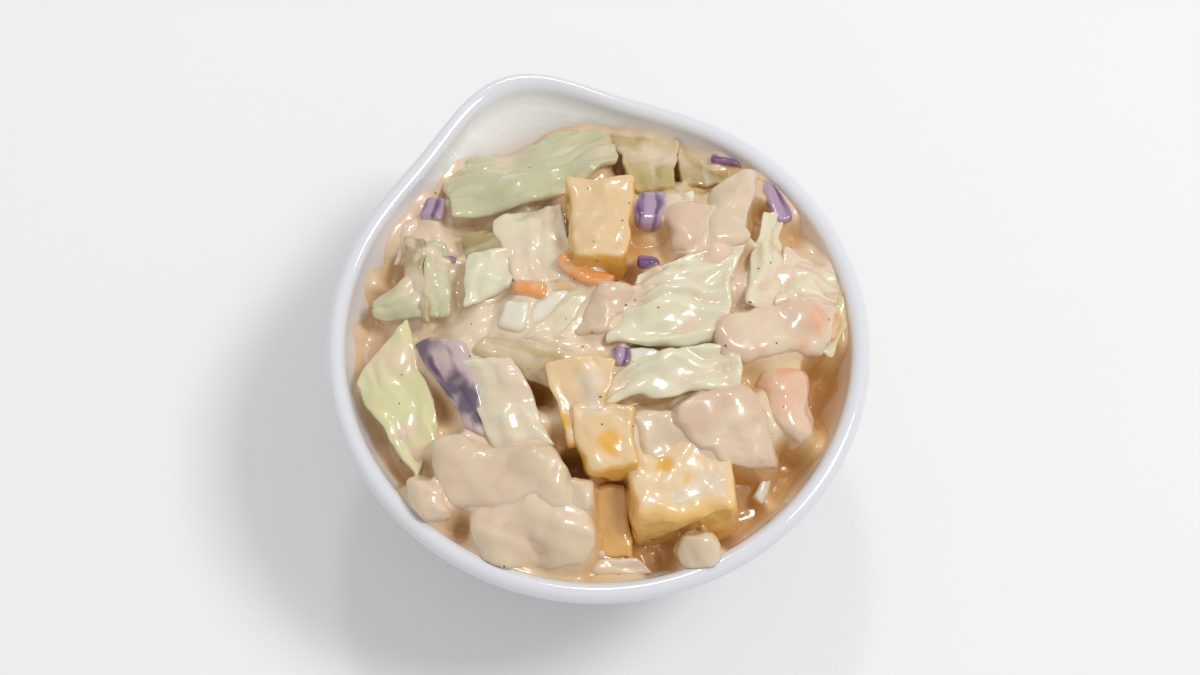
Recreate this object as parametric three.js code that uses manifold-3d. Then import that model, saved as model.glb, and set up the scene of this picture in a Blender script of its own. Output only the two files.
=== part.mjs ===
// Coleslaw in a small white dip bowl with a pouring lip. Millimetres, +Z up.
// The origin is the middle of the bowl's flat foot, and the lip points along +Y.
import * as THREE from 'three';
import Module from 'manifold-3d';

const wasm = await Module();
wasm.setup();

// The bowl.
const RIM_RADIUS = 46;
const RIM_HEIGHT = 42;
const RIM_ROUND = 1.7; // radius of the rim's round, half the wall's thickness there
const FOOT_RADIUS = 24;
const FLOOR_RADIUS = 20.4;
const FLOOR_HEIGHT = 4.5;
const WALL_FLARE = 0.75; // below 1 the wall leaves the foot flat and then runs up straight
const LIP_REACH = 8.1; // how far the lip stands out past the round rim
const LIP_SPREAD = THREE.MathUtils.degToRad(17.4);
const LIP_DEPTH = 22; // the lip fades out this far below the rim
const BOWL_SIDES = 60;
const WALL_STEPS = 7;
const GAP = 0.3; // clearance between the food and the bowl

// The heap. Heights here are above the plane of the rim.
const CROWN_HEIGHT = 6.2;
const SHOULDER_RADIUS = 42;
const SHOULDER_DROP = 12; // how far the heap falls from its crown to its shoulder
const SHOULDER_POWER = 2.4;
const CORE_RADIUS = 54;
const CORE_RINGS = 15;
const CORE_SIDES = 38;
const ROOM_ABOVE = 30; // free height over the rim in the space that the food may take
const ROOM_RADIUS = 62;
const SHORT_EDGE = 0.02; // edges below this length are taken out of the fused heap
const NUDGE = 0.02; // step along a piece's sheet, as a share of it, that finds which way the sheet faces

// Places where the heap sinks between its pieces: middle, spread and depth.
const HOLLOWS = [
  { at: [-33, 18], spread: 3, depth: 9 },
  { at: [-29, 24], spread: 2, depth: 6 },
  { at: [-14, 29], spread: 2.5, depth: 8 },
  { at: [-2, 27], spread: 2, depth: 8 },
  { at: [13, 32], spread: 2, depth: 9 },
  { at: [14, 16], spread: 4, depth: 7 },
  { at: [-32, -16], spread: 4, depth: 11 },
  { at: [-30, -3], spread: 2.5, depth: 10 },
  { at: [-34, -9], spread: 3.5, depth: 7 },
  { at: [-14, -6], spread: 3.5, depth: 8 },
  { at: [-8, -26], spread: 4, depth: 10 },
  { at: [-11, -19], spread: 2.5, depth: 9 },
  { at: [20, -32], spread: 6, depth: 11 },
  { at: [31, -24], spread: 6, depth: 14 },
  { at: [10, -37], spread: 6, depth: 14 },
  { at: [-2, -38], spread: 5, depth: 6 },
  { at: [-14, -34], spread: 4.5, depth: 6 },
  { at: [42, 14], spread: 6, depth: 7 },
  { at: [23, 28], spread: 2, depth: 9 },
  { at: [-9, 8], spread: 2, depth: 6 },
  { at: [-3, 43], spread: 8, depth: 9 },
  { at: [-19, 15], spread: 1.5, depth: 3 },
  { at: [20, -5], spread: 2, depth: 4 },
  { at: [39, -15], spread: 5, depth: 12 },
  { at: [23, -11], spread: 2, depth: 5 },
  { at: [2, 6], spread: 1.5, depth: 3 },
  { at: [16, 42], spread: 2, depth: 5 },
];

// Places where it rises under the pieces that stand highest.
const HUMPS = [
  { at: [25, 1], spread: 7, height: 2.5 },
  { at: [35, 0], spread: 6, height: 3 },
  { at: [29, -9], spread: 6, height: 2.5 },
  { at: [13, -15], spread: 6, height: 2.5 },
  { at: [13, -22], spread: 6, height: 2 },
  { at: [27, 15], spread: 7, height: 1.5 },
  { at: [-27, -2], spread: 4, height: 1.5 },
  { at: [-19, -9], spread: 4, height: 2 },
];

// What every piece of a kind shares. "edge" is the share of the thickness left at the outline, "round"
// rounds the corners from 0 to 1, "waves" is the depth of the ruffles, "drape" is how far the piece
// follows the slope of the heap, and "cells" splits its length and width.
const KINDS = {
  leaf: { thick: 2.2, edge: 0.6, round: 0.15, waves: 0.6, drape: 1, cells: [6, 3] },
  shred: { thick: 2, edge: 0.8, round: 0.25, waves: 0.4, drape: 1, cells: [4, 1] },
  chunk: { thick: 4, edge: 0.5, round: 0.25, waves: 0.6, drape: 0.85, cells: [4, 4] },
  cube: { thick: 8, edge: 1, round: 0.1, waves: 0.2, drape: 0, cells: [2, 2] },
};
const PLAIN = { taper: 0, skew: 0, bow: 0, rise: [0, 0], curl: 0 };

// The pieces that show. "at" is the middle in plan and "size" the length and width. "turn" is the way
// the length runs, in degrees from +X. "taper" narrows the far end and widens the near one by that share,
// "skew" slides the left side on along the piece past the right one, and "bow" bends the middle over to
// the left. "lift" is the height of the middle sheet over the dome, and "rise" is how much higher the
// far end and the left side are than the near end and the right side. "curl" drops both sides.
const PIECES = [
  // Green cabbage.
  { kind: 'leaf', at: [-1, 36.5], size: [31.5, 14.5], turn: 3, skew: 2.5, bow: -3,
    lift: 0.5, rise: [0, -1], waves: 0.9 },
  { kind: 'leaf', at: [19.5, 32], size: [20.5, 10.5], turn: 77, taper: -0.33,
    lift: 0.5, rise: [0, -1.5], curl: -0.5 },
  { kind: 'leaf', at: [28, 26.5], size: [9.5, 9], turn: 74, lift: 0.3, rise: [1, -1] },
  { kind: 'leaf', at: [36, 30], size: [7, 3], turn: 54, taper: 0.2, lift: 1.5 },
  { kind: 'leaf', at: [-12.5, 21.5], size: [9, 5.5], turn: -11, lift: -0.9, rise: [0.5, 0] },
  { kind: 'leaf', at: [-26, 20], size: [18, 3.5], turn: 78, taper: -0.15, skew: 3,
    lift: 0.9, rise: [0.4, -1], waves: 0.3 },
  { kind: 'leaf', at: [-23, 18], size: [15, 4], turn: 77, skew: 1.5,
    lift: 0.7, rise: [0.6, 1.8], waves: 0.3 },
  { kind: 'leaf', at: [-29.5, 16.5], size: [10, 7], turn: 175, taper: 0.6,
    lift: 1.4, rise: [1.8, -0.8], round: 0.05 },
  { kind: 'leaf', at: [-14.5, 14.5], size: [8.5, 9], turn: -5, taper: 0.2, skew: 2.5,
    lift: 1, rise: [-0.5, -0.5], curl: -0.5 },
  { kind: 'leaf', at: [13.5, -0.5], size: [19.5, 15], turn: -7, taper: -0.25, skew: 8.5,
    lift: 2, rise: [1.5, 1], waves: 1.1 },
  { kind: 'leaf', at: [-19, -9], size: [17, 9], turn: 98, skew: 3.5, lift: 2.1, curl: 0.6 },
  { kind: 'leaf', at: [-34.5, -1.5], size: [20, 10], turn: 97, taper: -0.28, skew: -6,
    lift: 2, rise: [2.4, 4], curl: -0.5, round: 0.05 },
  { kind: 'leaf', at: [39, -10], size: [13, 3.5], turn: 51, lift: 4, rise: [0.6, -1.5] },
  { kind: 'leaf', at: [7, -14.5], size: [25, 6.5], turn: -6, taper: -0.3, skew: 2.5, bow: 2,
    lift: 2.7, rise: [2, 0.5], waves: 1 },
  { kind: 'leaf', at: [17.5, -32.5], size: [11, 8.5], turn: 7, taper: 0.1, skew: 5,
    lift: -4, rise: [-0.5, -1.5] },
  // White cabbage.
  { kind: 'leaf', at: [-5.5, 17], size: [16, 11], turn: 84, taper: -0.1,
    lift: 0.2, rise: [-1.2, 0], curl: -0.6, waves: 0.4 },
  { kind: 'leaf', at: [31.5, 4], size: [20, 4.8], turn: 64, taper: 0.38, skew: -1,
    lift: 3.1, rise: [0, 0.6], curl: 0.8 },
  { kind: 'leaf', at: [37, -2], size: [11, 10], turn: -24, taper: 0.28, skew: 1,
    lift: 3.5, rise: [1.7, 0], waves: 0.9 },
  { kind: 'leaf', at: [-12.5, -2], size: [17, 8], turn: -38, taper: -0.35, skew: 2,
    lift: 0.8, curl: 0.8 },
  { kind: 'leaf', at: [3, -9.5], size: [8, 6.5], turn: -17, skew: 2, lift: 0.1 },
  { kind: 'leaf', at: [-12.5, -37.5], size: [16, 3], turn: -17, taper: 0.2, skew: -2.5,
    lift: 0.4, rise: [0, -1] },
  { kind: 'leaf', at: [-15.5, -35], size: [8.5, 2.5], turn: -20, skew: 2, lift: -0.1, thick: 1.2 },
  { kind: 'leaf', at: [-23, 33], size: [18.5, 4], turn: 58, taper: -0.45, skew: -1.5,
    lift: -0.3, rise: [0.7, 1] },
  { kind: 'shred', at: [-13, 5.5], size: [5.5, 4.5], turn: 57, lift: 0.6, thick: 2.6 },
  { kind: 'shred', at: [-8, 4.5], size: [8, 4], turn: 38, skew: -4, lift: 0.3 },
  { kind: 'shred', at: [-5.5, 2.5], size: [10.5, 3.6], turn: 30, taper: 0.25, skew: -5, lift: 0.7 },
  { kind: 'shred', at: [18.5, -32], size: [7, 1.5], turn: 45, lift: -1.6 },
  { kind: 'shred', at: [21.5, 19], size: [4, 3.5], turn: 0, skew: 1.5, lift: 0.8, thick: 2.4 },
  // Red cabbage.
  { kind: 'shred', at: [-19.5, 33], size: [5, 4.2], turn: 63, lift: 0.7, rise: [-0.6, 0] },
  { kind: 'shred', at: [33, 26.5], size: [6.5, 3], turn: -11, taper: -0.3,
    lift: 2.8, rise: [0.6, 0], thick: 1.6 },
  { kind: 'shred', at: [37.5, 17], size: [13, 3.2], turn: 88, taper: 0.1, lift: 3.4, rise: [0, -0.9] },
  { kind: 'shred', at: [-20, 21], size: [3.2, 2], turn: -27, lift: -0.1 },
  { kind: 'shred', at: [15, 17.5], size: [7.3, 6.4], turn: 68, taper: -0.14, skew: -1,
    lift: 1.1, rise: [-0.8, 0], thick: 4 },
  { kind: 'shred', at: [11, 7], size: [3.8, 2.2], turn: -24, lift: 2.1, thick: 1.8 },
  { kind: 'shred', at: [-25, -3], size: [19, 5.5], turn: 96, taper: -0.6, skew: 4,
    lift: 1.5, rise: [0.5, 0], curl: 0.4 },
  { kind: 'shred', at: [1.5, -7.5], size: [3.4, 2.8], turn: 65, lift: 1.5, thick: 1.8 },
  // Carrot.
  { kind: 'shred', at: [-9, 9], size: [5.8, 3], turn: -26, lift: 1.2 },
  { kind: 'shred', at: [37, -10.5], size: [5.5, 3.4], turn: 57, lift: 4.9, thick: 2 },
  { kind: 'shred', at: [-3, 7.5], size: [7, 1.4], turn: -14, lift: 0.7, thick: 1.2 },
  { kind: 'shred', at: [1, 9], size: [10, 3], turn: -48, bow: -1.5, lift: 2.4 },
  // Soft coated chunks and lumps.
  { kind: 'chunk', at: [20, 12], size: [10, 6.6], turn: 68, taper: -0.12, skew: -1.5,
    lift: 1.9, thick: 5, curl: 0.8 },
  { kind: 'chunk', at: [28, 13.5], size: [17.5, 6.5], turn: 59, skew: -5.5,
    lift: 2.6, rise: [0, -0.6], thick: 5, curl: 0.9 },
  { kind: 'chunk', at: [1.5, 1.5], size: [11, 5.2], turn: 40, skew: -3.5,
    lift: 1.4, rise: [0.4, -0.6], thick: 3, curl: 0.5 },
  { kind: 'chunk', at: [28, -10], size: [20.5, 8.4], turn: -5, skew: 3.5,
    lift: 3.3, rise: [0.6, 0], thick: 5, curl: 1 },
  { kind: 'chunk', at: [25.5, -21.5], size: [13.5, 8], turn: 84, taper: -0.4,
    lift: 1, rise: [0.5, 0], thick: 7, waves: 0.9 },
  { kind: 'chunk', at: [14.5, -24], size: [13, 12.5], turn: 106, taper: -0.2, skew: 5,
    lift: 2.8, rise: [0.7, 0], thick: 5, curl: 1.2 },
  { kind: 'chunk', at: [4, -22.5], size: [11, 8.4], turn: -12, taper: 0.14,
    lift: 1, rise: [0.7, 0.5], curl: 0.6 },
  { kind: 'chunk', at: [-22.5, -20], size: [23, 10], turn: -31, skew: -3.5,
    lift: 2.1, rise: [0.6, 0], thick: 6, waves: 0.8, curl: 1 },
  { kind: 'chunk', at: [-20.5, -29], size: [19, 12], turn: -15, skew: -1.5,
    lift: 2.3, thick: 6.5, waves: 1, curl: 0.8 },
  { kind: 'chunk', at: [-12, -27], size: [5.4, 5.8], turn: -8, lift: 2.1, rise: [-0.9, 0], waves: 0.8 },
  { kind: 'chunk', at: [-14.5, -32], size: [6, 5.3], turn: 0, skew: 2,
    lift: 2.5, rise: [-1.6, 0], waves: 0.8 },
  { kind: 'chunk', at: [4, -40], size: [7, 6.5], turn: 4, lift: 2.6, thick: 9, waves: 0 },
  { kind: 'chunk', at: [-35.5, -19], size: [7, 6], turn: 86, skew: 3,
    lift: 5.2, rise: [0, 1.5], thick: 6, curl: 0.8 },
  // Cubes of yellow fruit.
  { kind: 'cube', at: [5.5, 16], size: [16.5, 10.5], turn: 70, taper: -0.15, skew: -1,
    lift: 1.6, rise: [-3, 0], thick: 9 },
  { kind: 'cube', at: [-7, -13], size: [14.5, 8.6], turn: 73, taper: -0.4,
    lift: 0.4, rise: [2.7, -0.5], thick: 6 },
  { kind: 'cube', at: [-5, -20], size: [11.5, 9.6], turn: 81, taper: -0.12, skew: 1,
    lift: 0.5, rise: [1.3, 0] },
  { kind: 'cube', at: [4.5, -29.5], size: [17.5, 14.5], turn: -11,
    lift: -2.4, rise: [-0.8, -1], thick: 14 },
  { kind: 'cube', at: [-8, -30.5], size: [12, 6.5], turn: 78, lift: -4.4, rise: [4, 0], thick: 6 },
];

const POTTERY = { color: 0xeeeef2, roughness: 0.15, metalness: 0 };
const DRESSED_SALAD = { color: 0xe4ceac, roughness: 0.35, metalness: 0 };

const radians = THREE.MathUtils.degToRad;

// How far the lip pushes the wall out at a height and an angle from +Y.
function lipPush(height, angle) {
  const depth = THREE.MathUtils.clamp((height - (RIM_HEIGHT - LIP_DEPTH)) / LIP_DEPTH, 0, 1);
  return LIP_REACH * depth ** 1.4 * Math.exp(-((angle / LIP_SPREAD) ** 2));
}

// Points (radius, height) up a flared wall.
function flaredWall(footRadius, footHeight, topRadius, topHeight) {
  const points = [];
  for (let step = 0; step <= WALL_STEPS; step++) {
    const rise = (step / WALL_STEPS) ** 1.4;
    const radius = footRadius + (topRadius - footRadius) * rise ** WALL_FLARE;
    points.push([radius, footHeight + (topHeight - footHeight) * rise]);
  }
  return points;
}

// Points over the rim's round, from one angle to another.
function rimRound(radius, from, to, steps) {
  const middle = [RIM_RADIUS - RIM_ROUND, RIM_HEIGHT - RIM_ROUND];
  const points = [];
  for (let step = 1; step < steps; step++) {
    const angle = radians(from + ((to - from) * step) / steps);
    points.push([middle[0] + radius * Math.cos(angle), middle[1] + radius * Math.sin(angle)]);
  }
  return points;
}

// A closed body swept round the axis, with the lip pushed out. The profile starts and ends on the axis.
function sweptBody(profile) {
  const corners = [];
  const triangles = [];
  const rings = profile.map(([radius, height]) => {
    const first = corners.length;
    const sides = radius === 0 ? 1 : BOWL_SIDES;
    for (let side = 0; side < sides; side++) {
      const angle = (side / sides) * 2 * Math.PI;
      const fromLip = Math.atan2(Math.sin(angle - Math.PI / 2), Math.cos(angle - Math.PI / 2));
      const reach = radius === 0 ? 0 : radius + lipPush(height, fromLip);
      corners.push([reach * Math.cos(angle), reach * Math.sin(angle), height]);
    }
    return { first, sides };
  });
  const corner = (ring, side) => ring.first + (ring.sides === 1 ? 0 : side % BOWL_SIDES);
  for (let index = 0; index + 1 < rings.length; index++) {
    const [low, high] = [rings[index], rings[index + 1]];
    for (let side = 0; side < BOWL_SIDES; side++) {
      const [a, b] = [corner(low, side), corner(low, side + 1)];
      const [c, d] = [corner(high, side), corner(high, side + 1)];
      if (a !== b) triangles.push([a, b, d]);
      if (c !== d) triangles.push([a, d, c]);
    }
  }
  return { corners, triangles };
}

// The bowl: up the outside, over the rim and down the inside.
function bowlBody() {
  const straight = RIM_HEIGHT - RIM_ROUND;
  const outside = flaredWall(FOOT_RADIUS, 0, RIM_RADIUS, straight);
  const inside = flaredWall(FLOOR_RADIUS, FLOOR_HEIGHT, RIM_RADIUS - 2 * RIM_ROUND, straight).reverse();
  const rim = rimRound(RIM_ROUND, 0, 180, 6);
  return sweptBody([[0, 0], ...outside, ...rim, ...inside, [0, FLOOR_HEIGHT]]);
}

// The space that the food may take: the bowl's inside less the gap, and the room over the rim.
function roomBody() {
  const straight = RIM_HEIGHT - RIM_ROUND;
  const wallRadius = RIM_RADIUS - 2 * RIM_ROUND - GAP;
  const wall = flaredWall(FLOOR_RADIUS - GAP, FLOOR_HEIGHT + GAP, wallRadius, straight);
  const rim = rimRound(RIM_ROUND + GAP, 180, 90, 3);
  const overRim = RIM_HEIGHT + GAP;
  const top = RIM_HEIGHT + ROOM_ABOVE;
  const outer = [[RIM_RADIUS - RIM_ROUND, overRim], [ROOM_RADIUS, overRim], [ROOM_RADIUS, top]];
  return sweptBody([[0, FLOOR_HEIGHT + GAP], ...wall, ...rim, ...outer, [0, top]]);
}

// Height of the heap's smooth dome over the rim's plane.
function crownHeight(x, y) {
  return CROWN_HEIGHT - SHOULDER_DROP * (Math.hypot(x, y) / SHOULDER_RADIUS) ** SHOULDER_POWER;
}

// Height of the bare heap there, with its hollows and humps.
function heapHeight(x, y) {
  const fade = ({ at, spread }) => Math.exp(-((Math.hypot(x - at[0], y - at[1]) / spread) ** 2));
  const sunk = HOLLOWS.reduce((sum, hollow) => sum + hollow.depth * fade(hollow), 0);
  const raised = HUMPS.reduce((sum, hump) => sum + hump.height * fade(hump), 0);
  return crownHeight(x, y) - sunk + raised;
}

// The core that carries the pieces: a round column with the heap's surface on top.
function coreBody() {
  const corners = [[0, 0, 0], [0, 0, RIM_HEIGHT + heapHeight(0, 0)]];
  const triangles = [];
  const foot = (side) => 2 + (side % CORE_SIDES);
  const top = (ring, side) => 2 + CORE_SIDES * ring + (side % CORE_SIDES);
  for (let ring = 0; ring <= CORE_RINGS; ring++) {
    const radius = ring === 0 ? CORE_RADIUS : (CORE_RADIUS * ring) / CORE_RINGS;
    for (let side = 0; side < CORE_SIDES; side++) {
      const angle = ((side + (ring % 2) / 2) / CORE_SIDES) * 2 * Math.PI;
      const [x, y] = [radius * Math.cos(angle), radius * Math.sin(angle)];
      corners.push([x, y, ring === 0 ? 0 : RIM_HEIGHT + heapHeight(x, y)]);
    }
  }
  for (let side = 0; side < CORE_SIDES; side++) {
    triangles.push([0, foot(side + 1), foot(side)]);
    triangles.push([1, top(1, side), top(1, side + 1)]);
    for (let ring = 1; ring < CORE_RINGS; ring++) {
      triangles.push([top(ring, side), top(ring + 1, side), top(ring + 1, side + 1)]);
      triangles.push([top(ring, side), top(ring + 1, side + 1), top(ring, side + 1)]);
    }
    triangles.push([foot(side), foot(side + 1), top(CORE_RINGS, side + 1)]);
    triangles.push([foot(side), top(CORE_RINGS, side + 1), top(CORE_RINGS, side)]);
  }
  return { corners, triangles };
}

// A point of a piece's middle sheet, at shares u along it and v across it from -1 to 1.
function sheetPoint(piece, u, v) {
  const { at, size, turn, taper, skew, bow, lift, rise, waves, drape, curl } = piece;
  const along = (size[0] * u + skew * v) / 2;
  const across = (size[1] * v * (1 - taper * u)) / 2 + bow * (1 - u * u);
  const way = radians(turn);
  const x = at[0] + along * Math.cos(way) - across * Math.sin(way);
  const y = at[1] + along * Math.sin(way) + across * Math.cos(way);
  const under = crownHeight(...at) * (1 - drape) + crownHeight(x, y) * drape;
  const phase = 0.7 * at[0] + 1.3 * at[1];
  const ruffle = waves * Math.sin(0.22 * size[0] * u + phase) * Math.cos(1.9 * v + 0.7 * phase);
  const height = under + lift + (rise[0] * u + rise[1] * v) / 2 + ruffle - curl * v * v;
  return new THREE.Vector3(x, y, RIM_HEIGHT + height);
}

// A wavy slab: both faces share one grid of cells, closed round the outline.
function pieceBody(row) {
  const piece = { ...PLAIN, ...KINDS[row.kind], ...row };
  const [columns, rows] = piece.cells;

  function surfacePoint(column, line, face) {
    const s = (2 * column) / columns - 1;
    const t = (2 * line) / rows - 1;
    const u = s * Math.sqrt(1 - (piece.round * t * t) / 2);
    const v = t * Math.sqrt(1 - (piece.round * s * s) / 2);
    const along = sheetPoint(piece, u + NUDGE, v).sub(sheetPoint(piece, u - NUDGE, v));
    const across = sheetPoint(piece, u, v + NUDGE).sub(sheetPoint(piece, u, v - NUDGE));
    const atEdge = Math.max(Math.abs(s), Math.abs(t)) === 1;
    const offset = (face * piece.thick * (atEdge ? piece.edge : 1)) / 2;
    return sheetPoint(piece, u, v).addScaledVector(along.cross(across).normalize(), offset);
  }

  const corners = [];
  for (const face of [-1, 1]) {
    for (let line = 0; line <= rows; line++) {
      for (let column = 0; column <= columns; column++) {
        corners.push(surfacePoint(column, line, face).toArray());
      }
    }
  }
  const triangles = [];
  const topFirst = (columns + 1) * (rows + 1);
  const low = (column, line) => line * (columns + 1) + column;
  const high = (column, line) => topFirst + low(column, line);
  const wall = (a, b, c, d) => triangles.push([a, b, d], [a, d, c]);
  for (let line = 0; line < rows; line++) {
    for (let column = 0; column < columns; column++) {
      triangles.push([high(column, line), high(column + 1, line), high(column + 1, line + 1)]);
      triangles.push([high(column, line), high(column + 1, line + 1), high(column, line + 1)]);
      triangles.push([low(column, line), low(column + 1, line + 1), low(column + 1, line)]);
      triangles.push([low(column, line), low(column, line + 1), low(column + 1, line + 1)]);
    }
    wall(low(columns, line), low(columns, line + 1), high(columns, line), high(columns, line + 1));
    wall(low(0, line + 1), low(0, line), high(0, line + 1), high(0, line));
  }
  for (let column = 0; column < columns; column++) {
    wall(low(column, 0), low(column + 1, 0), high(column, 0), high(column + 1, 0));
    wall(low(column + 1, rows), low(column, rows), high(column + 1, rows), high(column, rows));
  }
  return { corners, triangles };
}

function solid({ corners, triangles }) {
  const vertProperties = new Float32Array(corners.flat());
  const triVerts = new Uint32Array(triangles.flat());
  return new wasm.Manifold(new wasm.Mesh({ numProp: 3, vertProperties, triVerts }));
}

// The heap: its core with every piece fused on, cut to the room in the bowl. Loose scraps are dropped.
function heapBody() {
  let heap = solid(coreBody());
  for (const piece of PIECES) heap = heap.add(solid(pieceBody(piece)));
  const parts = heap.intersect(solid(roomBody())).simplify(SHORT_EDGE).decompose();
  parts.sort((one, other) => other.volume() - one.volume());
  const { vertProperties, triVerts, numProp } = parts[0].getMesh();
  const corners = [];
  for (let first = 0; first < vertProperties.length; first += numProp) {
    corners.push([...vertProperties.slice(first, first + 3)]);
  }
  const triangles = [];
  for (let first = 0; first < triVerts.length; first += 3) {
    triangles.push([...triVerts.slice(first, first + 3)]);
  }
  return { corners, triangles };
}

function meshOf(name, { corners, triangles }, finish) {
  const geometry = new THREE.BufferGeometry();
  geometry.setAttribute('position', new THREE.Float32BufferAttribute(corners.flat(), 3));
  geometry.setIndex(triangles.flat());
  geometry.computeVertexNormals();
  const mesh = new THREE.Mesh(geometry, new THREE.MeshStandardMaterial(finish));
  mesh.name = name;
  return mesh;
}

const coleslaw = new THREE.Group();
coleslaw.add(meshOf('bowl', bowlBody(), POTTERY));
coleslaw.add(meshOf('coleslaw', heapBody(), DRESSED_SALAD));

export default coleslaw;
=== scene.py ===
import math

import bpy
import numpy as np
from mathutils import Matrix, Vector


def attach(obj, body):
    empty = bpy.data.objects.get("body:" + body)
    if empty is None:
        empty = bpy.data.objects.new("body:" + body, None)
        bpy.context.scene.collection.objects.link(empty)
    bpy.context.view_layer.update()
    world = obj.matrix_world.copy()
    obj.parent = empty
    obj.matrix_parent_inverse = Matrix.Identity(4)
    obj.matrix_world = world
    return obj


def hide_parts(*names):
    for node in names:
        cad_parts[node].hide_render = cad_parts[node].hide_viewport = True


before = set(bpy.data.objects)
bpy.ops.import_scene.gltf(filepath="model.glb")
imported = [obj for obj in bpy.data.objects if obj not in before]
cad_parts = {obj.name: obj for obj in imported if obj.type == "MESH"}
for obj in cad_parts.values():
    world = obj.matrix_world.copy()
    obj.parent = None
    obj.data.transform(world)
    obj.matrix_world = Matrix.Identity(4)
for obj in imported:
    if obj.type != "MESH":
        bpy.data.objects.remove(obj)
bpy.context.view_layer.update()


# ---- The bowl ----
# A small porcelain dip bowl with a pouring lip, cast in one piece and glazed white all over.
# The wall leaves a flat foot and flares up to a round rim. Dressing has smeared the inside; lower down and on
# the right side its smear turns tan, partly its own colour and partly painted shade.
MM = 0.001
RIM_RADIUS = 46.0
RIM_HEIGHT = 42.0
RIM_ROUND = 1.7
FOOT_RADIUS = 24.0
FLOOR_RADIUS = 20.4
FLOOR_HEIGHT = 4.5
WALL_FLARE = 0.75
LIP_REACH = 8.1
LIP_SPREAD = math.radians(17.4)
LIP_DEPTH = 22.0
LIP_CURVE = 1.4
STRAIGHT_HEIGHT = RIM_HEIGHT - RIM_ROUND
INSIDE_RADIUS = RIM_RADIUS - 2 * RIM_ROUND
FOOT_CROWDING = 1.4


def lip_push(height, angle):
    """How far the lip pushes the wall out at a height and an angle round the axis."""
    off_lip = np.arctan2(np.sin(angle - math.pi / 2), np.cos(angle - math.pi / 2))
    depth = np.clip((height - (RIM_HEIGHT - LIP_DEPTH)) / LIP_DEPTH, 0, 1)
    return LIP_REACH * depth**LIP_CURVE * np.exp(-((off_lip / LIP_SPREAD) ** 2))


def inside_radius(height, angle):
    """Radius of the bowl's inside at a height and an angle, over the round of the rim as well."""
    rise = np.clip((height - FLOOR_HEIGHT) / (STRAIGHT_HEIGHT - FLOOR_HEIGHT), 0, 1)
    wall = FLOOR_RADIUS + (INSIDE_RADIUS - FLOOR_RADIUS) * rise**WALL_FLARE
    over = np.clip(height - STRAIGHT_HEIGHT, 0, RIM_ROUND)
    return wall + RIM_ROUND - np.sqrt(RIM_ROUND**2 - over**2) + lip_push(height, angle)


def flared_wall(foot_radius, foot_height, top_radius, steps):
    """Points (radius, height) from the foot of a flared wall to the rim's round, closer near the foot."""
    rise = np.linspace(0, 1, steps + 1) ** FOOT_CROWDING
    radius = foot_radius + (top_radius - foot_radius) * rise**WALL_FLARE
    return np.stack([radius, foot_height + (STRAIGHT_HEIGHT - foot_height) * rise], 1)


def new_piece(name, points, faces):
    """A mesh object at the origin from points in millimetres."""
    mesh = bpy.data.meshes.new(name)
    mesh.from_pydata((np.asarray(points) * MM).tolist(), [], [list(face) for face in faces])
    mesh.shade_smooth()
    piece = bpy.data.objects.new(name, mesh)
    bpy.context.scene.collection.objects.link(piece)
    return piece


def turned_piece(name, profile, sides):
    """A closed body turned round the axis, its lip pushed out. The profile starts and ends on the axis."""
    angle = np.arange(sides) / sides * 2 * math.pi
    points = [[0, 0, profile[0][1]]]
    for radius, height in profile[1:-1]:
        reach = radius + lip_push(height, angle)
        points += np.stack([reach * np.cos(angle), reach * np.sin(angle), angle * 0 + height], 1).tolist()
    points.append([0, 0, profile[-1][1]])
    rings = len(profile) - 2
    faces = []
    for side in range(sides):
        beside = (side + 1) % sides
        faces.append([0, 1 + beside, 1 + side])
        for ring in range(rings - 1):
            low = 1 + ring * sides
            faces.append([low + side, low + beside, low + sides + beside, low + sides + side])
        last = 1 + (rings - 1) * sides
        faces.append([last + side, last + beside, len(points) - 1])
    return new_piece(name, points, faces)


def store(piece, name, values):
    """Stores a number for each point of a piece's mesh."""
    attribute = piece.data.attributes.new(name, "FLOAT", "POINT")
    attribute.data.foreach_set("value", values.astype(np.float32))


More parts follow.
